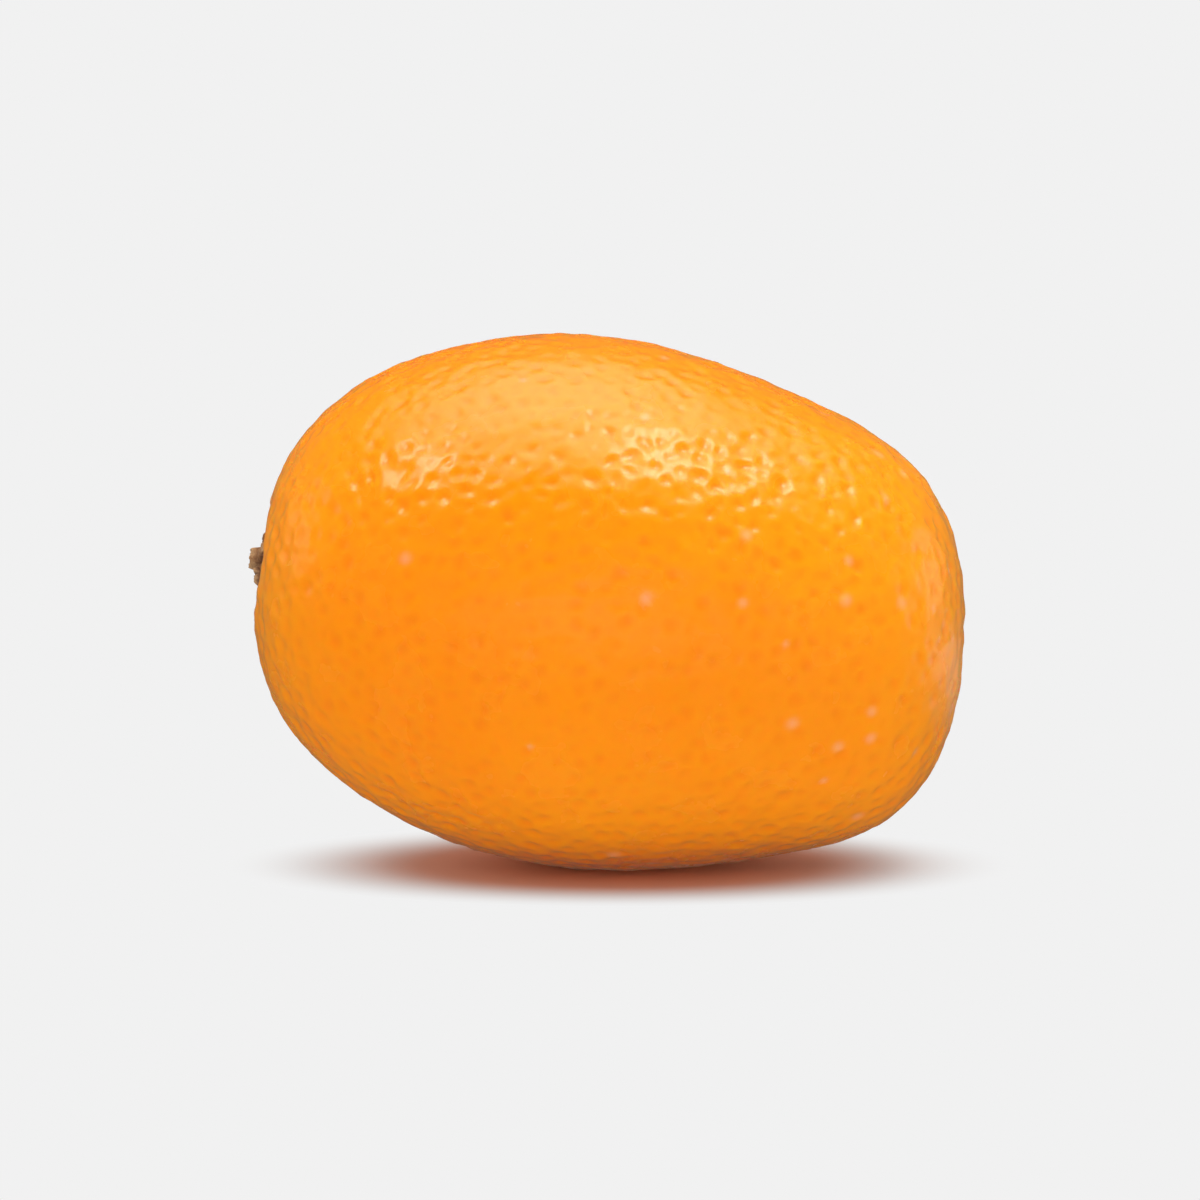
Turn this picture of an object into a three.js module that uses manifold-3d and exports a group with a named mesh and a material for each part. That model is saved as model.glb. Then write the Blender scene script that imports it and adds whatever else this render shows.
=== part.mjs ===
// A kumquat lying on its side: one oval fruit, and the small corky calyx left where its stalk was.
// Millimetres, +Z up. The origin is the middle of the flat spot the fruit rests on.
// +X points towards the blossom end of the fruit, -X towards its stem end.

import * as THREE from 'three';
import { mergeVertices } from 'three/addons/utils/BufferGeometryUtils.js';
import Module from 'manifold-3d';

const wasm = await Module();
wasm.setup();

// ---- Driving dimensions ----

// the whole fruit
const fruitLength = 37.2;
const fruitDiameter = 27.9;
const lyingTiltDeg = 7.8; // how far the blossom end hangs below the stem end

// the outline: r = R * sin(a) * (1 + s*x + h*x^3 + f*x^4) with x = cos(a), and x = 1 at the blossom end
const stemSideSwell = -0.08; // s, brings the widest point towards the stem end
const blossomShoulder = 0.148; // h
const endFullness = 0.326; // f, blunter ends than an ellipse

// how the fruit departs from a body of revolution
const ovalShare = 0.008; // it lies on its broader side, by this share of the radius
const threeSidedShare = 0.004; // a faint three-sidedness, one side of it underneath
const blossomLean = 0.053; // the blossom end slants, its lower edge standing further out

// the blossom end
const apexPitDepth = 0.35;
const apexPitRadius = 2.6;
const styleScarHeight = 0.25; // the small nub that the style left
const styleScarRadius = 0.75;

// the flat spot
const restSpotDepth = 0.2; // how much the peel gives way under the fruit's own weight

// the calyx and its seat
const calyxDiameter = 3.8;
const calyxThickness = 0.8;
const calyxLobeDepth = 0.32;
const calyxLobes = 5;
const calyxSeatDepth = 0.45;
const calyxSeatRim = 1.1; // width of the peel's slope round the calyx
const calyxGap = 0.3; // clearance between the calyx and the peel

// the broken end of the stalk in the middle of the calyx
const stalkDiameter = 1.3;
const stalkHeight = 0.45;
const stalkEdge = 0.3; // width of the slope from the calyx up to the stalk

// how finely the surfaces are cut
const fruitSegmentsAround = 72;
const fruitSegmentsAlong = 54;
const ringCrowding = 0.5; // 0 spaces the fruit's rings evenly, and more brings them closer at its two ends
const calyxSegmentsAround = 40;
const calyxSegmentsAlong = 18;

// ---- Values worked out from them ----

const halfLength = fruitLength / 2;
const radius = fruitDiameter / 2;
const calyxRadius = calyxDiameter / 2;
const stalkRadius = stalkDiameter / 2;
const seatRadius = calyxRadius + calyxGap; // the seat keeps its full depth out to here
const lyingTilt = THREE.MathUtils.degToRad(lyingTiltDeg);

const smooth = THREE.MathUtils.smoothstep;
const mergeDistance = 1e-5; // vertices closer than this are one
const flatTolerance = 1e-4; // a face this close to the surface under the fruit lies on it
const halvings = 40; // steps of a search by halving

// 1 at the middle of a pit or bump, falling smoothly to 0 at its rim
function bell(distance, rim) {
  return 1 - smooth(distance, 0, rim);
}

// The peel at a unit direction, with x along the fruit's axis towards the blossom end.
function peelPoint(direction) {
  const x = direction.x;
  const around = Math.atan2(direction.z, direction.y);
  const outline = 1 + stemSideSwell * x + blossomShoulder * x ** 3 + endFullness * x ** 4;
  const unevenness = 1 + ovalShare * Math.cos(2 * around) - threeSidedShare * Math.sin(3 * around);
  const y = radius * outline * unevenness * direction.y;
  const z = radius * outline * unevenness * direction.z;
  const fromAxis = Math.hypot(y, z);

  let along = halfLength * x;
  along -= blossomLean * z * ((1 + x) / 2) ** 3;
  if (x > 0) {
    along -= apexPitDepth * bell(fromAxis, apexPitRadius);
    along += styleScarHeight * bell(fromAxis, styleScarRadius);
  } else {
    const seat = 1 - smooth(fromAxis, seatRadius, seatRadius + calyxSeatRim);
    along += calyxSeatDepth * seat;
  }
  return new THREE.Vector3(along, y, z);
}

// How far along the axis the bare peel lies at the stem end, at a distance from the axis.
function stemEndAlong(fromAxis) {
  let low = 0;
  let high = Math.PI / 2;
  for (let step = 0; step < halvings; step += 1) {
    const middle = (low + high) / 2;
    const point = peelPoint(new THREE.Vector3(-Math.cos(middle), Math.sin(middle), 0));
    if (point.y < fromAxis) low = middle;
    else high = middle;
  }
  return peelPoint(new THREE.Vector3(-Math.cos(low), Math.sin(low), 0)).x;
}

// A closed ball of triangles, its poles on the X axis, with every vertex moved to place(direction).
function warpedBall(segmentsAround, segmentsAlong, place) {
  const ball = new THREE.SphereGeometry(1, segmentsAround, segmentsAlong);
  ball.rotateZ(-Math.PI / 2);
  ball.deleteAttribute('normal');
  ball.deleteAttribute('uv');
  const geometry = mergeVertices(ball, mergeDistance);
  const position = geometry.getAttribute('position');
  const direction = new THREE.Vector3();
  for (let i = 0; i < position.count; i += 1) {
    direction.fromBufferAttribute(position, i).normalize();
    const point = place(direction);
    position.setXYZ(i, point.x, point.y, point.z);
  }
  return geometry;
}

// Brings the rings of a ball closer together at its poles, where the fruit's small features are.
function crowdedToPoles(direction) {
  const polar = Math.acos(THREE.MathUtils.clamp(direction.x, -1, 1));
  const crowded = polar - ringCrowding * Math.sin(2 * polar) / 2;
  const around = Math.atan2(direction.z, direction.y);
  return new THREE.Vector3(
    Math.cos(crowded),
    Math.sin(crowded) * Math.cos(around),
    Math.sin(crowded) * Math.sin(around),
  );
}

// ---- Solids made with manifold-3d ----

function solidOf(geometry) {
  return new wasm.Manifold(new wasm.Mesh({
    numProp: 3,
    vertProperties: new Float32Array(geometry.getAttribute('position').array),
    triVerts: new Uint32Array(geometry.getIndex().array),
  }));
}

function geometryOf(solid) {
  const mesh = solid.getMesh();
  const geometry = new THREE.BufferGeometry();
  geometry.setAttribute('position', new THREE.BufferAttribute(new Float32Array(mesh.vertProperties), 3));
  geometry.setIndex(new THREE.BufferAttribute(new Uint32Array(mesh.triVerts), 1));
  geometry.computeVertexNormals();
  return geometry;
}

// ---- The fruit, in its own frame ----

const fruitGeometry = warpedBall(
  fruitSegmentsAround,
  fruitSegmentsAlong,
  (direction) => peelPoint(crowdedToPoles(direction)),
);

// Lay the fruit down: the blossom end drops by the tilt, and the lowest point sinks by the flat's depth.
const layDown = new THREE.Matrix4().makeRotationY(lyingTilt);
fruitGeometry.applyMatrix4(layDown);
fruitGeometry.computeBoundingBox();
const lift = new THREE.Matrix4().makeTranslation(0, 0, -fruitGeometry.boundingBox.min.z - restSpotDepth);
fruitGeometry.applyMatrix4(lift);

// everything below the surface it lies on is cut away
function floorBlock() {
  const size = 2 * fruitLength;
  const block = new THREE.BoxGeometry(size, size, size);
  block.translate(0, 0, -size / 2);
  block.deleteAttribute('normal');
  block.deleteAttribute('uv');
  return mergeVertices(block, mergeDistance);
}

const restingSolid = solidOf(fruitGeometry).subtract(solidOf(floorBlock()));
const restingGeometry = geometryOf(restingSolid);

// The middle of the flat spot, which becomes the origin.
function flatSpotMiddle(geometry) {
  const position = geometry.getAttribute('position');
  const index = geometry.getIndex();
  const corners = [new THREE.Vector3(), new THREE.Vector3(), new THREE.Vector3()];
  const sum = new THREE.Vector3();
  let area = 0;
  for (let i = 0; i < index.count; i += 3) {
    corners.forEach((corner, k) => corner.fromBufferAttribute(position, index.getX(i + k)));
    const isFlat = corners.every((corner) => Math.abs(corner.z) < flatTolerance);
    if (!isFlat) continue;
    const triangle = new THREE.Triangle(...corners);
    const middle = triangle.getMidpoint(new THREE.Vector3());
    sum.addScaledVector(middle, triangle.getArea());
    area += triangle.getArea();
  }
  return sum.divideScalar(area);
}

const spot = flatSpotMiddle(restingGeometry);
const toOrigin = new THREE.Matrix4().makeTranslation(-spot.x, -spot.y, 0);
restingGeometry.applyMatrix4(toOrigin);

const peel = new THREE.MeshStandardMaterial({ color: 0xff9500, roughness: 0.35, metalness: 0 });
const fruit = new THREE.Mesh(restingGeometry, peel);
fruit.name = 'fruit';

// ---- The calyx, in the fruit's own frame ----

// The calyx's edge, with a shallow notch between each pair of sepals.
function calyxEdge(around) {
  const lobe = 0.5 + 0.5 * Math.cos(calyxLobes * around);
  return calyxRadius - calyxLobeDepth * (1 - lobe);
}

// Its underside follows the peel at the clearance, and its back is domed with the stalk's end on it.
function calyxPoint(direction) {
  const around = Math.atan2(direction.z, direction.y);
  const share = Math.hypot(direction.y, direction.z);
  const fromAxis = calyxEdge(around) * share;
  let along = stemEndAlong(fromAxis) - calyxGap;
  if (direction.x < 0) {
    const stalk = 1 - smooth(fromAxis, stalkRadius - stalkEdge / 2, stalkRadius + stalkEdge / 2);
    along -= calyxThickness * Math.sqrt(1 - share ** 2) + stalkHeight * stalk;
  }
  return new THREE.Vector3(along, fromAxis * Math.cos(around), fromAxis * Math.sin(around));
}

const calyxGeometry = warpedBall(calyxSegmentsAround, calyxSegmentsAlong, calyxPoint);
calyxGeometry.applyMatrix4(layDown);
calyxGeometry.applyMatrix4(lift);
calyxGeometry.applyMatrix4(toOrigin);
calyxGeometry.computeVertexNormals();

const cork = new THREE.MeshStandardMaterial({ color: 0x8c6a48, roughness: 0.85, metalness: 0 });
const calyx = new THREE.Mesh(calyxGeometry, cork);
calyx.name = 'calyx';

const kumquat = new THREE.Group();
kumquat.add(fruit, calyx);

export default kumquat;
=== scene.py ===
# A ripe kumquat on a pale surface: its pitted peel, its corky calyx, and soft light round it.
# Metres, with the fruit's rest spot at the origin, +Z up and +X towards its blossom end.

import math

import bmesh
import bpy
import numpy as np
from mathutils import Matrix, Vector, noise
from mathutils.bvhtree import BVHTree


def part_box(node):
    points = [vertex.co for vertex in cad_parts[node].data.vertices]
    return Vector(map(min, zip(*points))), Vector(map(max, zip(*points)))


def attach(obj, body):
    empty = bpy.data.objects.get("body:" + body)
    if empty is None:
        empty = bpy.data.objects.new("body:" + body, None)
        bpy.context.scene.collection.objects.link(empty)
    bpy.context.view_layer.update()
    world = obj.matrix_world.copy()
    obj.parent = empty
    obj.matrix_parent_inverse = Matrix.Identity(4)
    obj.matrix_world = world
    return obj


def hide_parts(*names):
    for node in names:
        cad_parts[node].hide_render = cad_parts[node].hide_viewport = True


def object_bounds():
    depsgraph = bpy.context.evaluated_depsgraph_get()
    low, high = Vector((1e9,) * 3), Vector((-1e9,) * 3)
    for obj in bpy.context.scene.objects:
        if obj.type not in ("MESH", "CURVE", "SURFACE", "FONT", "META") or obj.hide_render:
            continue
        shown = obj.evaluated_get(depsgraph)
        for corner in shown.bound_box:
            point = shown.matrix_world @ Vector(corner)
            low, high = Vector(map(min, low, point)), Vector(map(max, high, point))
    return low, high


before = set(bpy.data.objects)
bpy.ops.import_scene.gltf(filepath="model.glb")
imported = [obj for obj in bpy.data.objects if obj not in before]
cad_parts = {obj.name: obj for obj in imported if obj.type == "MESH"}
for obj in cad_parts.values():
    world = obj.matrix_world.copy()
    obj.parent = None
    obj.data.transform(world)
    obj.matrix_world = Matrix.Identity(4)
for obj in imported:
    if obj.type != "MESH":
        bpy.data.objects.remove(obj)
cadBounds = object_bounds()
print("frame loaded:", sorted(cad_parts))

mm = 0.001


# Adds one node with its settings, links or fills its inputs, and gives back one of its outputs.
# Inputs and outputs go by name, or by number where a node has several of that name.
def addNode(tree, kind, inputs=None, output=0, **settings):
    node = tree.nodes.new(kind)
    for name, value in settings.items():
        setattr(node, name, value)
    for key, value in (inputs or {}).items():
        if isinstance(value, bpy.types.NodeSocket):
            tree.links.new(value, node.inputs[key])
        else:
            node.inputs[key].default_value = value
    return node.outputs[output] if node.outputs else node


# An sRGB hex colour as the linear colour that shaders take
def linearColour(hexText):
    shares = [int(hexText[i:i + 2], 16) / 255 for i in (1, 3, 5)]
    linear = [s / 12.92 if s <= 0.04045 else ((s + 0.055) / 1.055) ** 2.4 for s in shares]
    return (*linear, 1.0)


# An empty node material, and its tree
def newMaterial(name):
    material = bpy.data.materials.new(name)
    material.use_nodes = True
    material.node_tree.nodes.clear()
    return material, material.node_tree


# Puts a mesh, lamp or camera into the scene as an object at the origin.
def addObject(name, data):
    added = bpy.data.objects.new(name, data)
    bpy.context.scene.collection.objects.link(added)
    return added


# The fruit's outline, its two ends, and how its peel is pitted. Each is an input of the peel's tree.
peelShape = {
    # the outline, as the frame has it
    "Length": 37.2 * mm,
    "Diameter": 27.9 * mm,
    "Lying Tilt": math.radians(7.8),
    "Stem Side Swell": -0.08,  # this and the next two are shares of the girth, along the axis
    "Blossom Shoulder": 0.148,
    "End Fullness": 0.326,
    "Oval Share": 0.008,  # and these two are shares of it, round the axis
    "Three Sided Share": 0.004,
    "Blossom Lean": 0.053,
    # the two ends
    "Pit Depth": 0.35 * mm,
    "Pit Radius": 2.6 * mm,
    "Scar Height": 0.25 * mm,
    "Scar Radius": 0.75 * mm,
    "Seat Depth": 0.45 * mm,
    "Seat Radius": 2.2 * mm,
    "Seat Rim": 1.1 * mm,
    "Pucker Depth": 0.06 * mm,
    "Pucker Reach": 5.5 * mm,
    "Pucker Count": 11.0,
    "Pucker Bend": 9.0,  # how far noise turns them aside, in radians of their wave
    "Pucker Bends": 6.0,  # how often it does so within half the fruit's width
    # the oil glands
    "Gland Spacing": 0.88 * mm,
    "Gland Radius": 0.62 * mm,
    "Gland Depth": 0.12 * mm,
    "Gland Wobble": 0.42 * mm,  # the span within which their rims stray from round
    "Narrowest Gland": 0.6,  # as a share of the radius
    "Shallowest Gland": 0.35,  # as a share of the depth
    "Gland Seed": 7,
    # the soft waviness between them
    "Ripple Depth": 0.32 * mm,
    "Ripple Width": 1.5 * mm,
    "Patch Width": 9.0 * mm,
    "Smoothest Patch": 0.75,  # as a share of the full relief
    # pale specks
    "Speck Radius": 0.55 * mm,
    "Smallest Speck": 0.5,  # as a share of that radius
    "Specks At Stem": 8000.0,  # to the square metre
    "Specks At Blossom": 60000.0,
    "Speck Seed": 4,
    # how finely the skin is cut: a box of this many points along and across, blown up to the fruit
    "Points Along": 148,
    "Points Across": 114,
}


# The tree that grows the peel from the sizes above.
def growPeelTree(sizes):
    tree = bpy.data.node_groups.new("peelShape", "GeometryNodeTree")
    for name, value in sizes.items():
        kind = "NodeSocketInt" if isinstance(value, int) else "NodeSocketFloat"
        tree.interface.new_socket(name, in_out="INPUT", socket_type=kind)
    tree.interface.new_socket("Peel", in_out="INPUT", socket_type="NodeSocketMaterial")
    tree.interface.new_socket("Fruit", in_out="OUTPUT", socket_type="NodeSocketGeometry")
    given = tree.nodes.new("NodeGroupInput").outputs
    calc = "ShaderNodeMath"
    vector = "ShaderNodeVectorMath"
    mapRange = "ShaderNodeMapRange"
    triesPerGland = 4.0  # enough to leave hardly any room for one more

    # a box of points blown up to a unit ball, evenly spread
    box = addNode(tree, "GeometryNodeMeshCube", {
        "Size": (2, 2, 2),
        "Vertices X": given["Points Along"],
        "Vertices Y": given["Points Across"],
        "Vertices Z": given["Points Across"],
    })
    position = addNode(tree, "GeometryNodeInputPosition")
    quarter = addNode(tree, vector, {0: position, "Scale": math.pi / 4}, operation="SCALE")
    bulged = addNode(tree, vector, {0: quarter}, operation="TANGENT")
    direction = addNode(tree, vector, {0: bulged}, operation="NORMALIZE")
    parts = addNode(tree, "ShaderNodeSeparateXYZ", {0: direction}).node.outputs
    axial, across, up = parts[0], parts[1], parts[2]

    # how wide the fruit is there, as a share: 1 + s*x + h*x^3 + f*x^4
    steep = addNode(tree, calc, {0: axial, 1: given["End Fullness"], 2: given["Blossom Shoulder"]},
                    operation="MULTIPLY_ADD")
    squared = addNode(tree, calc, {0: axial, 1: axial}, operation="MULTIPLY")
    sloped = addNode(tree, calc, {0: steep, 1: squared, 2: given["Stem Side Swell"]},
                     operation="MULTIPLY_ADD")
    outline = addNode(tree, calc, {0: sloped, 1: axial, 2: 1.0}, operation="MULTIPLY_ADD")

    # not quite round: oval, and faintly three-sided
    around = addNode(tree, calc, {0: up, 1: across}, operation="ARCTAN2")
    twice = addNode(tree, calc, {0: around, 1: 2.0}, operation="MULTIPLY")
    ovalWave = addNode(tree, calc, {0: twice}, operation="COSINE")
    thrice = addNode(tree, calc, {0: around, 1: 3.0}, operation="MULTIPLY")
    sideWave = addNode(tree, calc, {0: thrice}, operation="SINE")
    oval = addNode(tree, calc, {0: ovalWave, 1: given["Oval Share"], 2: 1.0},
                   operation="MULTIPLY_ADD")
    sided = addNode(tree, calc, {0: sideWave, 1: given["Three Sided Share"]}, operation="MULTIPLY")
    uneven = addNode(tree, calc, {0: oval, 1: sided}, operation="SUBTRACT")
    radius = addNode(tree, calc, {0: given["Diameter"], 1: 0.5}, operation="MULTIPLY")
    wide = addNode(tree, calc, {0: outline, 1: uneven}, operation="MULTIPLY")
    girth = addNode(tree, calc, {0: wide, 1: radius}, operation="MULTIPLY")
    sideways = addNode(tree, calc, {0: across, 1: girth}, operation="MULTIPLY")
    upwards = addNode(tree, calc, {0: up, 1: girth}, operation="MULTIPLY")
    flatVector = addNode(tree, "ShaderNodeCombineXYZ", {1: sideways, 2: upwards})
    fromAxis = addNode(tree, vector, {0: flatVector}, operation="LENGTH", output="Value")

    # along the axis: the blossom end leans, most at its tip, with a pit and the style's scar in it
    atBlossom = addNode(tree, calc, {0: axial, 1: 0.0}, operation="GREATER_THAN")
    atStem = addNode(tree, calc, {0: axial, 1: 0.0}, operation="LESS_THAN")
    halfWay = addNode(tree, calc, {0: axial, 1: 0.5, 2: 0.5}, operation="MULTIPLY_ADD")
    leanShare = addNode(tree, calc, {0: halfWay, 1: 3.0}, operation="POWER")
    leanHeight = addNode(tree, calc, {0: upwards, 1: given["Blossom Lean"]}, operation="MULTIPLY")
    lean = addNode(tree, calc, {0: leanHeight, 1: leanShare}, operation="MULTIPLY")
    pitShare = addNode(tree, mapRange, {
        "Value": fromAxis, "From Min": 0.0, "From Max": given["Pit Radius"],
        "To Min": 1.0, "To Max": 0.0}, interpolation_type="SMOOTHSTEP")
    scarShare = addNode(tree, mapRange, {
        "Value": fromAxis, "From Min": 0.0, "From Max": given["Scar Radius"],
        "To Min": 1.0, "To Max": 0.0}, interpolation_type="SMOOTHSTEP")
    pit = addNode(tree, calc, {0: pitShare, 1: given["Pit Depth"]}, operation="MULTIPLY")
    scar = addNode(tree, calc, {0: scarShare, 1: given["Scar Height"]}, operation="MULTIPLY")
    blossomDent = addNode(tree, calc, {0: pit, 1: scar}, operation="SUBTRACT")
    blossom = addNode(tree, calc, {0: blossomDent, 1: atBlossom}, operation="MULTIPLY")

    # the calyx's seat at the stem end, and the puckers round it
    seatEdge = addNode(tree, calc, {0: given["Seat Radius"], 1: given["Seat Rim"]}, operation="ADD")
    seatShare = addNode(tree, mapRange, {
        "Value": fromAxis, "From Min": given["Seat Radius"], "From Max": seatEdge,
        "To Min": 1.0, "To Max": 0.0}, interpolation_type="SMOOTHSTEP")
    seat = addNode(tree, calc, {0: seatShare, 1: given["Seat Depth"]}, operation="MULTIPLY")
    puckerTurn = addNode(tree, calc, {0: around, 1: given["Pucker Count"]}, operation="MULTIPLY")
    puckerWander = addNode(tree, "ShaderNodeTexNoise", {
        "Vector": direction, "Scale": given["Pucker Bends"], "Detail": 1.0})
    puckerPhase = addNode(tree, calc, {0: puckerWander, 1: given["Pucker Bend"], 2: puckerTurn},
                          operation="MULTIPLY_ADD")
    puckerWave = addNode(tree, calc, {0: puckerPhase}, operation="SINE")
    puckerDip = addNode(tree, calc, {0: puckerWave, 1: 0.5, 2: 0.5}, operation="MULTIPLY_ADD")
    puckerRise = addNode(tree, mapRange, {
        "Value": fromAxis, "From Min": 0.0, "From Max": given["Seat Radius"]},
        interpolation_type="SMOOTHSTEP")
    puckerFade = addNode(tree, mapRange, {
        "Value": fromAxis, "From Min": given["Seat Radius"], "From Max": given["Pucker Reach"],
        "To Min": 1.0, "To Max": 0.0}, interpolation_type="SMOOTHSTEP")
    puckerShare = addNode(tree, calc, {0: puckerRise, 1: puckerFade}, operation="MULTIPLY")
    puckerHere = addNode(tree, calc, {0: puckerDip, 1: puckerShare}, operation="MULTIPLY")
    pucker = addNode(tree, calc, {0: puckerHere, 1: given["Pucker Depth"]}, operation="MULTIPLY")
    stemDent = addNode(tree, calc, {0: seat, 1: pucker}, operation="ADD")
    stem = addNode(tree, calc, {0: stemDent, 1: atStem}, operation="MULTIPLY")

    halfLength = addNode(tree, calc, {0: given["Length"], 1: 0.5}, operation="MULTIPLY")
    straight = addNode(tree, calc, {0: axial, 1: halfLength, 2: stem}, operation="MULTIPLY_ADD")
    leaned = addNode(tree, calc, {0: straight, 1: lean}, operation="SUBTRACT")
    along = addNode(tree, calc, {0: leaned, 1: blossom}, operation="SUBTRACT")
    grown = addNode(tree, "ShaderNodeCombineXYZ", {0: along, 1: sideways, 2: upwards})
    lying = addNode(tree, "ShaderNodeVectorRotate", {"Vector": grown, "Angle": given["Lying Tilt"]},
                    rotation_type="Y_AXIS")

    # what the peel's colours need: which end a point is near, and how far it is from the axis
    marked = addNode(tree, "GeometryNodeStoreNamedAttribute", {
        "Geometry": box, "Name": "towardsBlossom", "Value": axial}, data_type="FLOAT", domain="POINT")
    measured = addNode(tree, "GeometryNodeStoreNamedAttribute", {
        "Geometry": marked, "Name": "fromAxis", "Value": fromAxis}, data_type="FLOAT", domain="POINT")
    skin = addNode(tree, "GeometryNodeSetPosition", {"Geometry": measured, "Position": lying})

    # oil glands, scattered no closer than their spacing
    crowd = addNode(tree, calc, {0: given["Gland Spacing"], 1: -2.0}, operation="POWER")
    crowded = addNode(tree, calc, {0: crowd, 1: triesPerGland}, operation="MULTIPLY")
    glands = addNode(tree, "GeometryNodeDistributePointsOnFaces", {
        "Mesh": skin, "Distance Min": given["Gland Spacing"], "Density Max": crowded,
        "Seed": given["Gland Seed"]}, distribute_method="POISSON")
    perWobble = addNode(tree, calc, {0: 0.5, 1: given["Gland Radius"]}, operation="DIVIDE")
    wobbleNoise = addNode(tree, "ShaderNodeTexNoise", {
        "Vector": position, "Scale": perWobble, "Detail": 0.0}, output="Color")
    wobbled = addNode(tree, vector, {0: wobbleNoise, 1: (0.5, 0.5, 0.5)}, operation="SUBTRACT")
    strayed = addNode(tree, vector, {0: wobbled, "Scale": given["Gland Wobble"]}, operation="SCALE")
    strayPlace = addNode(tree, vector, {0: position, 1: strayed}, operation="ADD")
    nearest = addNode(tree, "GeometryNodeSampleNearest", {
        "Geometry": glands, "Sample Position": strayPlace})
    glandPlace = addNode(tree, "GeometryNodeSampleIndex", {
        "Geometry": glands, "Value": position, "Index": nearest}, data_type="FLOAT_VECTOR")
    glandVigour = addNode(tree, "FunctionNodeRandomValue", {
        2: 0.0, 3: 1.0, 8: given["Gland Seed"]}, output=1, data_type="FLOAT")
    vigour = addNode(tree, "GeometryNodeSampleIndex", {
        "Geometry": glands, "Value": glandVigour, "Index": nearest}, data_type="FLOAT")
    glandGap = addNode(tree, vector, {0: strayPlace, 1: glandPlace},
                       operation="DISTANCE", output="Value")
    glandShare = addNode(tree, mapRange, {
        "Value": vigour, "To Min": given["Narrowest Gland"], "To Max": 1.0})
    glandRadius = addNode(tree, calc, {0: given["Gland Radius"], 1: glandShare}, operation="MULTIPLY")
    glandHere = addNode(tree, mapRange, {
        "Value": glandGap, "From Min": 0.0, "From Max": glandRadius,
        "To Min": 1.0, "To Max": 0.0}, interpolation_type="SMOOTHSTEP")

    # a soft waviness between them, and patches of the peel that are smoother than others
    perPatch = addNode(tree, calc, {0: 1.0, 1: given["Patch Width"]}, operation="DIVIDE")
    patchNoise = addNode(tree, "ShaderNodeTexNoise", {
        "Vector": position, "Scale": perPatch, "Detail": 1.0, "Roughness": 0.5})
    patch = addNode(tree, mapRange, {
        "Value": patchNoise, "From Min": 0.35, "From Max": 0.65,
        "To Min": given["Smoothest Patch"], "To Max": 1.0})
    perRipple = addNode(tree, calc, {0: 1.0, 1: given["Ripple Width"]}, operation="DIVIDE")
    rippleNoise = addNode(tree, "ShaderNodeTexNoise", {
        "Vector": position, "Scale": perRipple, "Detail": 2.0, "Roughness": 0.5})
    ripple = addNode(tree, calc, {0: rippleNoise, 1: given["Ripple Depth"]}, operation="MULTIPLY")

    # pale specks, more of them towards the blossom end, which the moved skin knows by its attribute
    towards = addNode(tree, "GeometryNodeInputNamedAttribute", {"Name": "towardsBlossom"},
                      data_type="FLOAT")
    speckCrowd = addNode(tree, mapRange, {
        "Value": towards, "From Min": -0.4, "From Max": 0.9,
        "To Min": given["Specks At Stem"], "To Max": given["Specks At Blossom"]})
    specks = addNode(tree, "GeometryNodeDistributePointsOnFaces", {
        "Mesh": skin, "Density": speckCrowd, "Seed": given["Speck Seed"]}, distribute_method="RANDOM")
    nearSpeck = addNode(tree, "GeometryNodeSampleNearest", {
        "Geometry": specks, "Sample Position": position})
    speckPlace = addNode(tree, "GeometryNodeSampleIndex", {
        "Geometry": specks, "Value": position, "Index": nearSpeck}, data_type="FLOAT_VECTOR")
    speckSize = addNode(tree, "FunctionNodeRandomValue", {
        2: given["Smallest Speck"], 3: 1.0, 8: given["Speck Seed"]}, output=1, data_type="FLOAT")
    speckShare = addNode(tree, "GeometryNodeSampleIndex", {
        "Geometry": specks, "Value": speckSize, "Index": nearSpeck}, data_type="FLOAT")
    speckRadius = addNode(tree, calc, {0: given["Speck Radius"], 1: speckShare}, operation="MULTIPLY")
    speckGap = addNode(tree, vector, {0: position, 1: speckPlace}, operation="DISTANCE", output="Value")
    speckHere = addNode(tree, mapRange, {
        "Value": speckGap, "From Min": 0.0, "From Max": speckRadius,
        "To Min": 1.0, "To Max": 0.0}, interpolation_type="SMOOTHSTEP")

    # everything sinks inwards from the skin
    vigourShare = addNode(tree, mapRange, {
        "Value": vigour, "To Min": given["Shallowest Gland"], "To Max": 1.0})
    glandSink = addNode(tree, calc, {0: glandHere, 1: given["Gland Depth"]}, operation="MULTIPLY")
    glandSunk = addNode(tree, calc, {0: glandSink, 1: vigourShare}, operation="MULTIPLY")
    sunk = addNode(tree, calc, {0: glandSunk, 1: ripple}, operation="ADD")
    patchSunk = addNode(tree, calc, {0: sunk, 1: patch}, operation="MULTIPLY")
    inwards = addNode(tree, calc, {0: patchSunk, 1: -1.0}, operation="MULTIPLY")
    normal = addNode(tree, "GeometryNodeInputNormal")
    offset = addNode(tree, vector, {0: normal, "Scale": inwards}, operation="SCALE")

    # the colours need these too
    geometry = skin
    for name, value in (("gland", glandHere), ("vigour", vigour), ("speck", speckHere)):
        geometry = addNode(tree, "GeometryNodeStoreNamedAttribute", {
            "Geometry": geometry, "Name": name, "Value": value}, data_type="FLOAT", domain="POINT")
    pitted = addNode(tree, "GeometryNodeSetPosition", {"Geometry": geometry, "Offset": offset})
    soft = addNode(tree, "GeometryNodeSetShadeSmooth", {"Geometry": pitted})
    whole = addNode(tree, "GeometryNodeRealizeInstances", {"Geometry": soft})
    finished = addNode(tree, "GeometryNodeSetMaterial", {"Geometry": whole, "Material": given["Peel"]})
    addNode(tree, "NodeGroupOutput", {0: finished})
    return tree


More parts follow.
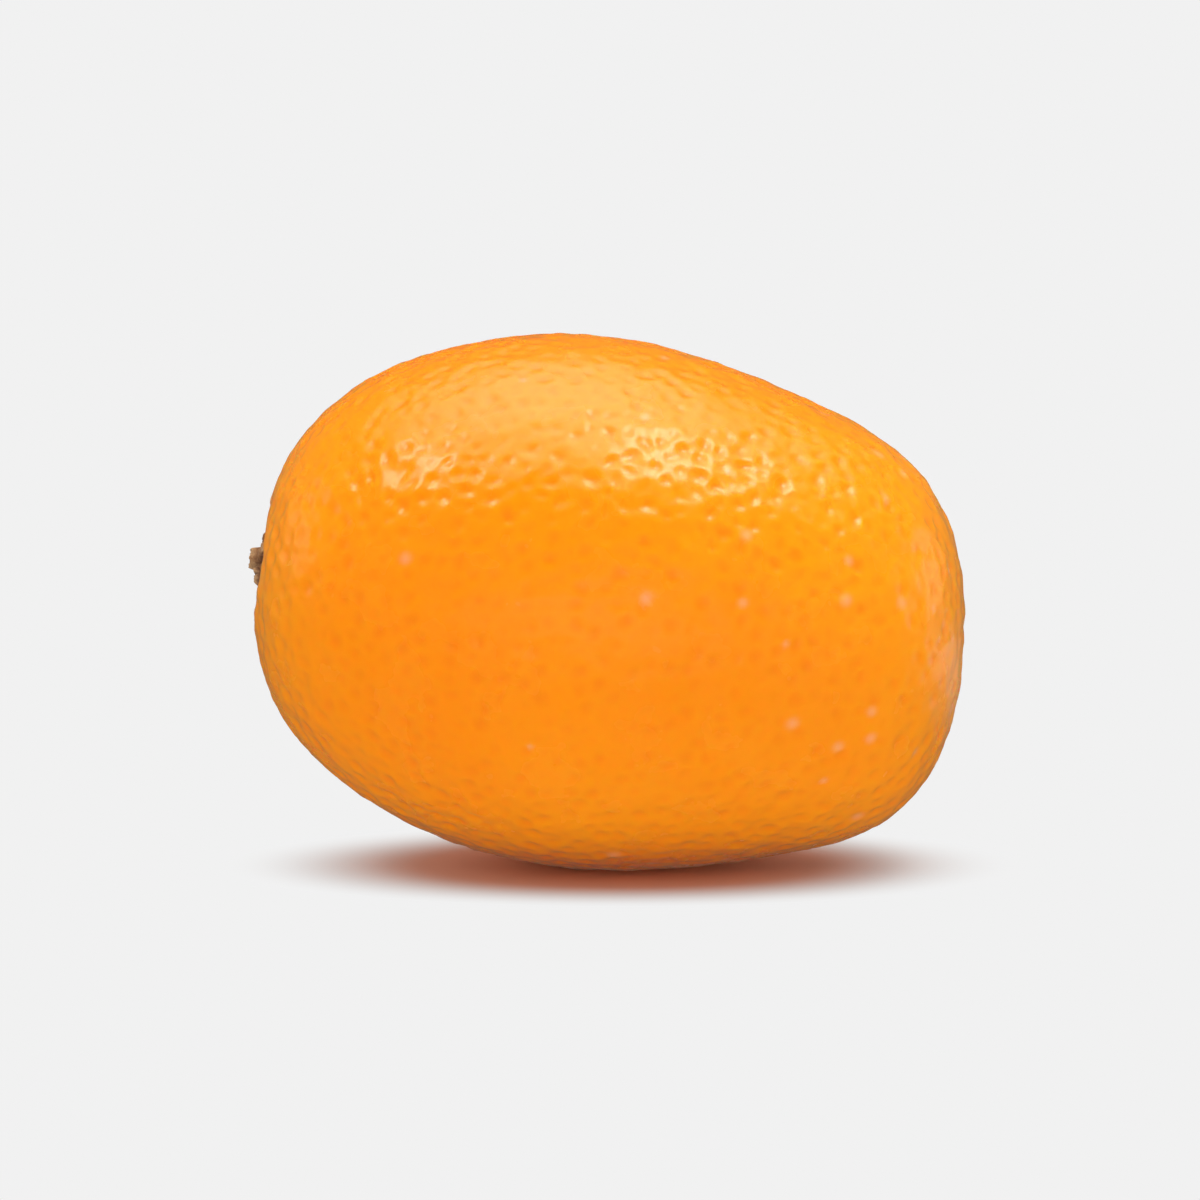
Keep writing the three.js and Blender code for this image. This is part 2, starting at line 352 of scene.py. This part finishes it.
# Runs a tree on an empty mesh object and gives back a plain mesh object with the result.
def runTree(tree, name, values):
    carrier = addObject(name + "Carrier", bpy.data.meshes.new(name + "Carrier"))
    modifier = carrier.modifiers.new("grow", "NODES")
    modifier.node_group = tree
    for socket in tree.interface.items_tree:
        if socket.in_out == "INPUT":
            modifier[socket.identifier] = values[socket.name]
    bpy.context.view_layer.update()
    grown = carrier.evaluated_get(bpy.context.evaluated_depsgraph_get())
    mesh = bpy.data.meshes.new_from_object(grown)
    carrier.modifiers.remove(modifier)
    bpy.data.objects.remove(carrier)
    mesh.name = name
    return addObject(name, mesh)


# Moves a mesh to the middle of the frame's node and down until it gives way a little under its own
# weight, flattens that spot on the floor, and gives back how far it moved.
def settleOnFrame(piece, node, giveWay):
    low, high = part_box(node)
    mesh = piece.data
    points = np.empty(len(mesh.vertices) * 3, np.float32)
    mesh.vertices.foreach_get("co", points)
    points = points.reshape(-1, 3)
    shift = Vector((
        (low.x + high.x) / 2 - (points[:, 0].min() + points[:, 0].max()) / 2,
        (low.y + high.y) / 2 - (points[:, 1].min() + points[:, 1].max()) / 2,
        low.z - giveWay - points[:, 2].min(),
    ))
    points += np.array(shift, np.float32)
    points[:, 2] = np.maximum(points[:, 2], low.z)
    mesh.vertices.foreach_set("co", points.ravel())
    mesh.update()
    return shift


peelLook = {
    "stemSide": "#FF8F00",  # peel between the glands, yellower towards the blossom
    "blossomSide": "#FF990A",
    "gland": "#F57A00",  # the oil showing through
    "glandStrength": (0.05, 0.42),  # in the palest gland and in the deepest
    "riper": "#FC8500",  # patches that ripened further
    "riperStrength": 0.5,
    "patchWidth": 12 * mm,
    "stemEnd": "#FF9E08",
    "stemEndStrength": 0.6,
    "speck": "#FFAE80",
    "speckStrength": 0.55,
    # round marks at the two ends: noise of up to the stray is added to the distance from the axis,
    # and the mark fades as that grows from its inner to its outer value
    "seatRing": {"colour": "#F2A055", "strength": 0.55, "inner": 3.2 * mm, "outer": 6.0 * mm,
                 "stray": 3.2 * mm, "strayWidth": 1.6 * mm},
    "halo": {"colour": "#FBB268", "strength": 0.6, "inner": 1.3 * mm, "outer": 2.9 * mm,
             "stray": 2.0 * mm, "strayWidth": 1.1 * mm},
    "scar": {"colour": "#6A3C2C", "strength": 1.0, "inner": 0.55 * mm, "outer": 0.8 * mm,
             "stray": 0.5 * mm, "strayWidth": 0.5 * mm},
    "scarRoughness": 0.8,
    "waxTint": "#FFF0CC",  # what the wax mirrors comes back in this colour
    "waxRoughness": (0.21, 0.30),
    "waxPatchWidth": 2.5 * mm,
    "bloomTint": "#FFDBA0",  # the wax bloom that pales the fruit towards its edges
    "grainWidth": 0.16 * mm,  # the wax's own grain, as fine as the render can show
    "grainHeight": 0.012 * mm,
    "scatterDepth": 3.0 * mm,  # how far red light travels under the skin
}


# Citrus rind: a thin wax over oil glands, in soft tissue that light sinks into and comes out of redder.
def makeWaxyRind(look):
    material, tree = newMaterial("waxyCitrusRind")
    calc = "ShaderNodeMath"
    mapRange = "ShaderNodeMapRange"
    mix = "ShaderNodeMix"
    place = addNode(tree, "ShaderNodeTexCoord", output="Object")
    gland = addNode(tree, "ShaderNodeAttribute", attribute_name="gland", output="Fac")
    vigour = addNode(tree, "ShaderNodeAttribute", attribute_name="vigour", output="Fac")
    speck = addNode(tree, "ShaderNodeAttribute", attribute_name="speck", output="Fac")
    towards = addNode(tree, "ShaderNodeAttribute", attribute_name="towardsBlossom", output="Fac")
    fromAxis = addNode(tree, "ShaderNodeAttribute", attribute_name="fromAxis", output="Fac")

    # Lays a ragged round mark over a colour at one end. Gives the new colour, and where the mark is.
    def addMark(under, mark, atThatEnd):
        strayNoise = addNode(tree, "ShaderNodeTexNoise", {
            "Vector": place, "Scale": 1 / mark["strayWidth"], "Detail": 2.0})
        strayed = addNode(tree, calc, {0: strayNoise, 1: mark["stray"], 2: fromAxis},
                          operation="MULTIPLY_ADD")
        markShare = addNode(tree, mapRange, {
            "Value": strayed, "From Min": mark["inner"], "From Max": mark["outer"],
            "To Min": mark["strength"], "To Max": 0.0}, interpolation_type="SMOOTHSTEP")
        markHere = addNode(tree, calc, {0: markShare, 1: atThatEnd}, operation="MULTIPLY")
        marked = addNode(tree, mix, {0: markHere, 6: under, 7: linearColour(mark["colour"])},
                         output=2, data_type="RGBA")
        return marked, markHere

    sideShare = addNode(tree, mapRange, {"Value": towards, "From Min": -0.4, "From Max": 0.9})
    between = addNode(tree, mix, {0: sideShare, 6: linearColour(look["stemSide"]),
                                  7: linearColour(look["blossomSide"])}, output=2, data_type="RGBA")

    # glands show as deeper orange dots, some stronger than others
    palest, deepest = look["glandStrength"]
    strength = addNode(tree, mapRange, {"Value": vigour, "To Min": palest, "To Max": deepest})
    dots = addNode(tree, calc, {0: gland, 1: strength}, operation="MULTIPLY")
    dotted = addNode(tree, mix, {0: dots, 6: between, 7: linearColour(look["gland"])},
                     output=2, data_type="RGBA")

    # broad patches that ripened further, and a yellower stem end
    patchNoise = addNode(tree, "ShaderNodeTexNoise", {
        "Vector": place, "Scale": 1 / look["patchWidth"], "Detail": 2.0, "Roughness": 0.5})
    patches = addNode(tree, mapRange, {
        "Value": patchNoise, "From Min": 0.4, "From Max": 0.7,
        "To Min": 0.0, "To Max": look["riperStrength"]})
    ripened = addNode(tree, mix, {0: patches, 6: dotted, 7: linearColour(look["riper"])},
                      output=2, data_type="RGBA")
    stemShare = addNode(tree, mapRange, {
        "Value": towards, "From Min": -0.75, "From Max": -1.0,
        "To Min": 0.0, "To Max": look["stemEndStrength"]})
    ended = addNode(tree, mix, {0: stemShare, 6: ripened, 7: linearColour(look["stemEnd"])},
                    output=2, data_type="RGBA")

    # paler, drier peel close round the calyx
    atStem = addNode(tree, calc, {0: towards, 1: 0.0}, operation="LESS_THAN")
    ringed = addMark(ended, look["seatRing"], atStem)[0]

    # pale specks where a gland dried out
    speckShare = addNode(tree, calc, {0: speck, 1: look["speckStrength"]}, operation="MULTIPLY")
    specked = addNode(tree, mix, {0: speckShare, 6: ringed, 7: linearColour(look["speck"])},
                      output=2, data_type="RGBA")

    # the style's brown scar at the blossom end, in a pale ring
    atBlossom = addNode(tree, calc, {0: towards, 1: 0.0}, operation="GREATER_THAN")
    haloed = addMark(specked, look["halo"], atBlossom)[0]
    coloured, scarHere = addMark(haloed, look["scar"], atBlossom)

    # the wax is smoother in some patches than in others, and dull on the scar
    smoothest, roughest = look["waxRoughness"]
    waxNoise = addNode(tree, "ShaderNodeTexNoise", {
        "Vector": place, "Scale": 1 / look["waxPatchWidth"], "Detail": 3.0})
    waxy = addNode(tree, mapRange, {
        "Value": waxNoise, "From Min": 0.3, "From Max": 0.7, "To Min": smoothest, "To Max": roughest})
    rough = addNode(tree, mix, {0: scarHere, 2: waxy, 3: look["scarRoughness"]},
                    output=0, data_type="FLOAT")
    grain = addNode(tree, "ShaderNodeTexNoise", {
        "Vector": place, "Scale": 1 / look["grainWidth"], "Detail": 2.0, "Roughness": 0.6})
    grained = addNode(tree, "ShaderNodeBump", {
        "Height": grain, "Strength": 0.35, "Distance": look["grainHeight"]})

    shader = addNode(tree, "ShaderNodeBsdfPrincipled", {
        "Base Color": coloured, "Roughness": rough, "Normal": grained, "IOR": 1.47,
        "Specular Tint": linearColour(look["waxTint"]),
        "Subsurface Weight": 0.6, "Subsurface Radius": (1.0, 0.25, 0.03),
        "Subsurface Scale": look["scatterDepth"],
        "Coat Weight": 0.40, "Coat Roughness": 0.13, "Coat IOR": 1.45,
        "Sheen Weight": 0.10, "Sheen Roughness": 0.35,
        "Sheen Tint": linearColour(look["bloomTint"])})
    addNode(tree, "ShaderNodeOutputMaterial", {"Surface": shader})
    return material


restSpotDepth = 0.10 * mm
waxyRind = makeWaxyRind(peelLook)
peel = runTree(growPeelTree(peelShape), "fruitPeel", {**peelShape, "Peel": waxyRind})
shift = settleOnFrame(peel, "fruit", restSpotDepth)
fruitPlace = Matrix.Translation(shift) @ Matrix.Rotation(peelShape["Lying Tilt"], 4, "Y")
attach(peel, "root")
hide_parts("fruit")
print("peel grown:", len(peel.data.polygons), "faces")


calyxShape = {
    "radius": 1.95 * mm,
    "thickness": 0.50 * mm,
    "lobes": 5,
    "notch": 0.50 * mm,
    "notchSharpness": 0.7,
    # how its rim differs from one sepal to the next and within one: a share of its reach, how often
    # that changes round the rim, and a place in the noise
    "uneven": {"share": 0.30, "often": 1.3, "seed": Vector((8.1, 2.2, 0.7))},
    "ragged": {"share": 0.10, "often": 6.0, "seed": Vector((1.1, 5.2, 3.7))},
    # the stalk's broken end; its steps and the furrows are placed in shares of its radius
    "stalkRadius": 0.60 * mm,
    "stalkHeight": 0.24 * mm,
    "stalkEdge": (0.85, 1.08),
    "stalkPaleness": 0.75,  # how weathered it is, where the flakes go from 0 to 1
    "splinters": 0.16 * mm,
    "splinterWidth": 0.33 * mm,
    "pithRadius": 0.17 * mm,
    "pithEdge": (0.4, 1.3),  # in shares of the pith's radius
    "pithDepth": 0.16 * mm,
    "pithShade": 0.8,
    "moatPlace": 1.3,  # the groove round the stalk
    "moatWidth": 0.17 * mm,
    "moatDepth": 0.20 * mm,
    "moatShade": 0.9,  # how dark it is, next to a crack's 1
    "furrowStart": (1.2, 2.0),  # the grooves between the sepals
    "furrowSharpness": 6,
    "furrowDepth": 0.24 * mm,
    "flakeWidth": 0.62 * mm,  # the bits that the cork has cracked into
    "flakeStep": 0.12 * mm,
    "crackWidth": 0.11,  # as a share of a flake
    "crackDepth": 0.15 * mm,
    "crackBend": 0.3,  # how far a crack strays, as a share of a flake
    "crackBendWidth": 0.9 * mm,
    "crackBendSeed": 5,
    "grainHeight": 0.045 * mm,
    "grainWidth": 0.17 * mm,
    "domeSharpness": 4,
    "rimShade": (0.88, 1.0),  # where it darkens, as shares of its reach
    "leastHeight": 0.04 * mm,
    "sink": 0.06 * mm,  # how far its underside sits in the peel
    "columns": 260,
    "rings": 130,
}


def smoothStep(value, low, high):
    share = min(max((value - low) / (high - low), 0.0), 1.0)
    return share * share * (3 - 2 * share)


# How high the calyx stands at a spot of it, how much shade is painted there, and how weathered that
# spot is.
def corkAt(sizes, y, z, edge):
    distance = math.hypot(y, z)
    turn = math.atan2(z, y)
    stalk = sizes["stalkRadius"]
    pithRadius = sizes["pithRadius"]
    spot = Vector((y, z, 0.0))
    flakeMix = 7.3  # takes neighbouring flakes' centres to unlike random values
    finer = 2.3  # the second grain, which is half as strong

    bent = noise.noise_vector(spot / sizes["crackBendWidth"]) * sizes["crackBend"]
    distances, centres = noise.voronoi(spot / sizes["flakeWidth"] + bent)
    crack = 1 - smoothStep(distances[1] - distances[0], 0.0, 2 * sizes["crackWidth"])
    flake = noise.cell(centres[0] * flakeMix)
    grain = noise.noise(spot / sizes["grainWidth"])
    grain += 0.5 * noise.noise(spot * finer / sizes["grainWidth"])
    between = 0.5 - 0.5 * math.cos(sizes["lobes"] * turn)
    furrow = between ** sizes["furrowSharpness"]
    furrow *= smoothStep(distance, *(share * stalk for share in sizes["furrowStart"]))
    onStalk = 1 - smoothStep(distance, *(share * stalk for share in sizes["stalkEdge"]))
    moat = math.exp(-((distance - sizes["moatPlace"] * stalk) / sizes["moatWidth"]) ** 2)
    pith = 1 - smoothStep(distance, *(share * pithRadius for share in sizes["pithEdge"]))
    splinter = sizes["splinters"] * noise.noise(spot / sizes["splinterWidth"])
    dome = math.sqrt(max(0.0, 1 - (distance / edge) ** sizes["domeSharpness"]))
    cork = 1 - onStalk

    height = sizes["thickness"] + sizes["flakeStep"] * (flake - 0.5) * cork
    grooves = sizes["crackDepth"] * crack * cork + sizes["furrowDepth"] * furrow
    height -= grooves + sizes["moatDepth"] * moat
    height *= dome
    height += sizes["grainHeight"] * grain
    height += onStalk * (sizes["stalkHeight"] + splinter)
    height -= pith * sizes["pithDepth"]
    # painted shade: darker in the cracks, the furrows between sepals, the moat, the stalk's pit and
    # towards the rim
    rim = smoothStep(distance / edge, *sizes["rimShade"])
    paintedShade = max(crack * cork, furrow, sizes["moatShade"] * moat, sizes["pithShade"] * pith, rim)
    weathered = flake * cork + onStalk * sizes["stalkPaleness"]
    return max(height, sizes["leastHeight"]), paintedShade, weathered


# A closed cap on the peel: a ball's rings and columns pressed onto it, with cracked cork on its back.
def makeCalyx(sizes, peelPiece, fruitPlace):
    skin = BVHTree.FromPolygons([v.co for v in peelPiece.data.vertices],
                                [tuple(f.vertices) for f in peelPiece.data.polygons])
    ahead = fruitPlace.to_3x3() @ Vector((1, 0, 0))
    farOut = -40 * mm  # from here the peel is looked for, along the fruit's axis
    toFruit = fruitPlace.inverted()
    noise.seed_set(sizes["crackBendSeed"])  # left unset, the cracks' bends come from the clock
    points = []
    paintedShades = []
    flakes = []

    def rimNoise(outwards, change):
        return noise.noise(outwards * change["often"] + change["seed"])

    def addPoint(polar, turn):
        outwards = Vector((math.cos(turn), math.sin(turn), 0.0))
        uneven = max(0.0, rimNoise(outwards, sizes["uneven"]))
        ragged = abs(rimNoise(outwards, sizes["ragged"]))
        lobe = 0.5 + 0.5 * math.cos(sizes["lobes"] * turn)
        edge = sizes["radius"] - sizes["notch"] * (1 - lobe ** sizes["notchSharpness"])
        edge *= 1 - sizes["uneven"]["share"] * uneven - sizes["ragged"]["share"] * ragged
        distance = edge * math.sin(polar)
        y = distance * math.cos(turn)
        z = distance * math.sin(turn)
        hit = skin.ray_cast(fruitPlace @ Vector((farOut, y, z)), ahead)[0]
        along = (toFruit @ hit).x + sizes["sink"]
        paintedShade, flake = 0.0, 0.5
        if polar < math.pi / 2:
            height, paintedShade, flake = corkAt(sizes, y, z, edge)
            along -= height + sizes["sink"] * math.cos(polar)
        points.append(fruitPlace @ Vector((along, y, z)))
        paintedShades.append(paintedShade)
        flakes.append(flake)

    columns = sizes["columns"]
    rings = sizes["rings"]
    addPoint(0.0, 0.0)
    for ring in range(1, rings):
        for column in range(columns):
            addPoint(math.pi * ring / rings, 2 * math.pi * column / columns)
    addPoint(math.pi, 0.0)
    last = len(points) - 1
    lastRing = 1 + (rings - 2) * columns
    faces = []
    for column in range(columns):
        after = (column + 1) % columns
        faces.append((0, 1 + column, 1 + after))
        faces.append((last, lastRing + after, lastRing + column))
        for ring in range(rings - 2):
            upper = 1 + ring * columns
            lower = upper + columns
            faces.append((upper + column, lower + column, lower + after, upper + after))
    mesh = bpy.data.meshes.new("stemCalyx")
    mesh.from_pydata(points, [], faces)
    mesh.attributes.new("paintedShade", "FLOAT", "POINT").data.foreach_set("value", paintedShades)
    mesh.attributes.new("flake", "FLOAT", "POINT").data.foreach_set("value", flakes)
    sorter = bmesh.new()
    sorter.from_mesh(mesh)
    bmesh.ops.recalc_face_normals(sorter, faces=sorter.faces)
    sorter.to_mesh(mesh)
    sorter.free()
    for face in mesh.polygons:
        face.use_smooth = True
    return addObject("stemCalyx", mesh)


corkLook = {
    "weathered": "#BA9468",
    "bark": "#92663E",
    # the painted shade's dark brown, and how strong it is
    "paintedShadeColour": "#552D14",
    "paintedShadeStrength": 0.85,
    "fleck": "#6B3416",
    "fleckStrength": 0.6,
    "blotchWidth": 0.5 * mm,
    "fibreWidth": 0.09 * mm,
    "fibreHeight": 0.05 * mm,
}


# Cork that cracked and weathered as it dried: grey-tan flakes among browner ones, with shade painted
# dark brown into its cracks, furrows, stalk pit and rim.
def makeDryCork(look):
    material, tree = newMaterial("dryCalyxCork")
    mix = "ShaderNodeMix"
    mapRange = "ShaderNodeMapRange"
    place = addNode(tree, "ShaderNodeTexCoord", output="Object")
    paintedShade = addNode(tree, "ShaderNodeAttribute", attribute_name="paintedShade", output="Fac")
    flake = addNode(tree, "ShaderNodeAttribute", attribute_name="flake", output="Fac")
    blotches = addNode(tree, "ShaderNodeTexNoise", {
        "Vector": place, "Scale": 1 / look["blotchWidth"], "Detail": 3.0})
    blotted = addNode(tree, "ShaderNodeMath", {0: blotches, 1: flake}, operation="ADD")
    weathering = addNode(tree, mapRange, {"Value": blotted, "From Min": 0.65, "From Max": 1.35})
    faceColour = addNode(tree, mix, {0: weathering, 6: linearColour(look["bark"]),
                                     7: linearColour(look["weathered"])}, output=2, data_type="RGBA")
    fibre = addNode(tree, "ShaderNodeTexNoise", {
        "Vector": place, "Scale": 1 / look["fibreWidth"], "Detail": 4.0})
    fleckShare = addNode(tree, mapRange, {
        "Value": fibre, "From Min": 0.45, "From Max": 0.75,
        "To Min": 0.0, "To Max": look["fleckStrength"]})
    flecked = addNode(tree, mix, {0: fleckShare, 6: faceColour, 7: linearColour(look["fleck"])},
                      output=2, data_type="RGBA")
    # painted shade: the dark brown goes where the calyx is recessed or near its rim
    paintedShadeShare = addNode(tree, "ShaderNodeMath", {0: paintedShade, 1: look["paintedShadeStrength"]},
                         operation="MULTIPLY")
    shadedColour = addNode(tree, mix, {0: paintedShadeShare, 6: flecked, 7: linearColour(look["paintedShadeColour"])},
                      output=2, data_type="RGBA")
    bumped = addNode(tree, "ShaderNodeBump", {
        "Height": fibre, "Strength": 0.6, "Distance": look["fibreHeight"]})
    shader = addNode(tree, "ShaderNodeBsdfPrincipled", {
        "Base Color": shadedColour, "Roughness": 0.85, "Normal": bumped, "IOR": 1.45})
    addNode(tree, "ShaderNodeOutputMaterial", {"Surface": shader})
    return material


calyx = makeCalyx(calyxShape, peel, fruitPlace)
calyx.data.materials.append(makeDryCork(corkLook))
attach(calyx, "root")
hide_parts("calyx")
print("calyx made:", len(calyx.data.polygons), "faces")


studio = {
    # an oval of paper round the fruit, which turns to glowing tent between two shares of its reach
    "paperColour": "#B8B8B8",
    "tentColour": "#F1F1F1",
    "paperReach": (12.5 * mm, 7.6 * mm),
    "tentShare": (0.8, 1.65),
    # painted light: the paper close under the fruit is tinted orange, a painted stand-in for light that
    # has come through the fruit and for its warm shadow, and this is how that fades outwards
    "paintedBounceColour": "#E8AE86",
    "paintedBounceReach": (19.0 * mm, 12.5 * mm),
    "paintedBounceShare": (0.15, 1.0),
    # the floor that curves up into a wall
    "floorRadius": 0.66,
    "sweepRadius": 1.1,
    "sweepHeight": 0.9,
    "sweepSteps": 16,
    "sweepColumns": 96,
    "worldColour": "#FFFFFF",
    "worldStrength": 0.05,
    "cameraDistance": 0.5,
    "cameraElevation": 8.5,  # degrees
    "sensorWidth": 36.0,  # millimetres, as the camera has it
    "pictureWidth": 62 * mm,  # how much of the object's plane the picture takes in
    "nearest": 0.01,
    "farthest": 10.0,
}


# A pale floor that curves up into a wall all round.
def makeSweep(sizes):
    flat = sizes["floorRadius"]
    bend = sizes["sweepRadius"] - flat
    steps = sizes["sweepSteps"]
    columns = sizes["sweepColumns"]
    # rings of points from the middle out and up: how far out each lies, and how high
    rings = [(flat / 2, 0.0), (flat, 0.0)]
    for step in range(1, steps + 1):
        turn = math.radians(90 * step / steps)
        rings.append((flat + bend * math.sin(turn), bend * (1 - math.cos(turn))))
    rings.append((sizes["sweepRadius"], sizes["sweepHeight"]))
    points = [(0.0, 0.0, 0.0)]
    for distance, height in rings:
        for column in range(columns):
            turn = 2 * math.pi * column / columns
            points.append((distance * math.cos(turn), distance * math.sin(turn), height))
    faces = []
    for column in range(columns):
        after = (column + 1) % columns
        faces.append((0, 1 + column, 1 + after))
        for ring in range(len(rings) - 1):
            inner = 1 + ring * columns
            outer = inner + columns
            faces.append((inner + column, outer + column, outer + after, inner + after))
    mesh = bpy.data.meshes.new("sweep")
    mesh.from_pydata(points, [], faces)
    for face in mesh.polygons:
        face.use_smooth = True
    return addObject("sweep", mesh)


# Paper near the fruit, with orange light painted into it close under the fruit, which turns into an
# evenly glowing tent further out.
def makeTentPaper(sizes):
    material, tree = newMaterial("tentPaper")
    place = addNode(tree, "ShaderNodeTexCoord", output="Object")

    # from 0 to 1 as a spot on the floor goes outwards between two shares of an oval's reach
    def outOfOval(reach, shares):
        perReach = (1 / reach[0], 1 / reach[1], 0)
        inReaches = addNode(tree, "ShaderNodeVectorMath", {0: place, 1: perReach},
                            operation="MULTIPLY")
        distance = addNode(tree, "ShaderNodeVectorMath", {0: inReaches},
                           operation="LENGTH", output="Value")
        return addNode(tree, "ShaderNodeMapRange", {
            "Value": distance, "From Min": shares[0], "From Max": shares[1]},
            interpolation_type="SMOOTHSTEP")

    far = outOfOval(sizes["paperReach"], sizes["tentShare"])
    # painted light: close under the fruit the paper's own colour is tinted orange, in place of light
    # that has come through the fruit
    outOfPaintedBounce = outOfOval(sizes["paintedBounceReach"], sizes["paintedBounceShare"])
    paperColour = addNode(tree, "ShaderNodeMix", {
        0: outOfPaintedBounce, 6: linearColour(sizes["paintedBounceColour"]), 7: linearColour(sizes["paperColour"])},
        output=2, data_type="RGBA")
    paper = addNode(tree, "ShaderNodeBsdfDiffuse", {"Color": paperColour})
    tent = addNode(tree, "ShaderNodeEmission", {
        "Color": linearColour(sizes["tentColour"]), "Strength": 1.0})
    surface = addNode(tree, "ShaderNodeMixShader", {0: far, 1: paper, 2: tent})
    addNode(tree, "ShaderNodeOutputMaterial", {"Surface": surface})
    return material


sweep = makeSweep(studio)
sweep.data.materials.append(makeTentPaper(studio))
sweep.visible_glossy = False  # matt paper: the wax mirrors the lamps and not the paper

world = bpy.data.worlds.new("paleSurroundings")
bpy.context.scene.world = world
world.use_nodes = True
world.node_tree.nodes.clear()
glow = addNode(world.node_tree, "ShaderNodeBackground", {
    "Color": linearColour(studio["worldColour"]), "Strength": studio["worldStrength"]})
addNode(world.node_tree, "ShaderNodeOutputWorld", {"Surface": glow})

# Cloth-fronted lamps, in metres and watts. One that isn't mirrored fills shadows without a highlight.
lights = {
    "overheadTent": {"size": (0.78, 0.72), "power": 3.60, "at": (0.0, 0.04, 0.36), "mirrored": True},
    "leftSoftbox": {"size": (0.17, 0.15), "power": 0.62, "at": (-0.20, -0.07, 0.33), "mirrored": True},
    "rightSoftbox": {"size": (0.20, 0.16), "power": 0.86, "at": (0.12, -0.05, 0.34), "mirrored": True},
    "leftCard": {"size": (0.30, 0.24), "power": 0.14, "at": (-0.36, 0.12, 0.11), "mirrored": True},
    "rightCard": {"size": (0.36, 0.30), "power": 0.28, "at": (0.36, 0.13, 0.085), "mirrored": True},
    "skyFill": {"size": (0.55, 0.45), "power": 6.60, "at": (0.0, 0.08, 0.48), "mirrored": False},
    "frontFill": {"size": (0.50, 0.16), "power": 1.40, "at": (0.0, -0.26, 0.012), "mirrored": False},
    "rightFloorCard": {"size": (0.13, 0.10), "power": 0.028, "at": (0.078, 0.030, 0.001),
                       "mirrored": True, "aim": (0.078, 0.030, 0.10)},
    "backFill": {"size": (0.50, 0.16), "power": 1.00, "at": (0.0, 0.26, 0.012), "mirrored": False},
}
lightTarget = (0.0, 0.0, 10 * mm)  # what a lamp faces if it has no aim of its own
lampRim = 0.5  # how far a lamp's rim is from its middle, as a share of its size
for name, light in lights.items():
    lamp = bpy.data.lights.new(name, "AREA")
    lamp.shape = "RECTANGLE"
    lamp.size = light["size"][0]
    lamp.size_y = light["size"][1]
    lamp.energy = light["power"]
    lamp.use_nodes = True
    lamp.node_tree.nodes.clear()
    # bright in the middle and fading to nothing at its rim, as cloth in front of a lamp does
    spread = addNode(lamp.node_tree, "ShaderNodeNewGeometry", output="Parametric")
    centred = addNode(lamp.node_tree, "ShaderNodeVectorMath", {0: spread, 1: (0.5, 0.5, 0.0)},
                      operation="DISTANCE", output="Value")
    fading = addNode(lamp.node_tree, "ShaderNodeMapRange", {
        "Value": centred, "From Min": 0.0, "From Max": lampRim, "To Min": 1.0, "To Max": 0.0},
        interpolation_type="SMOOTHSTEP")
    cloth = addNode(lamp.node_tree, "ShaderNodeEmission", {"Color": (1, 1, 1, 1), "Strength": fading})
    addNode(lamp.node_tree, "ShaderNodeOutputLight", {"Surface": cloth})
    holder = addObject(name, lamp)
    holder.visible_camera = False
    holder.visible_glossy = light["mirrored"]
    holder.location = light["at"]
    aim = Vector(light.get("aim", lightTarget)) - Vector(light["at"])
    holder.rotation_euler = aim.to_track_quat("-Z", "Y").to_euler()

cameraData = bpy.data.cameras.new("camera")
camera = addObject("camera", cameraData)
bpy.context.scene.camera = camera
cameraData.sensor_width = studio["sensorWidth"]
cameraData.lens = studio["sensorWidth"] * studio["cameraDistance"] / studio["pictureWidth"]
cameraData.clip_start = studio["nearest"]
cameraData.clip_end = studio["farthest"]
middle = (cadBounds[0] + cadBounds[1]) / 2
lift = math.radians(studio["cameraElevation"])
back = Vector((0, -math.cos(lift), math.sin(lift)))
camera.location = middle + back * studio["cameraDistance"]
camera.rotation_euler = (-back).to_track_quat("-Z", "Y").to_euler()
bpy.context.scene.view_settings.view_transform = "Standard"
print("studio set")
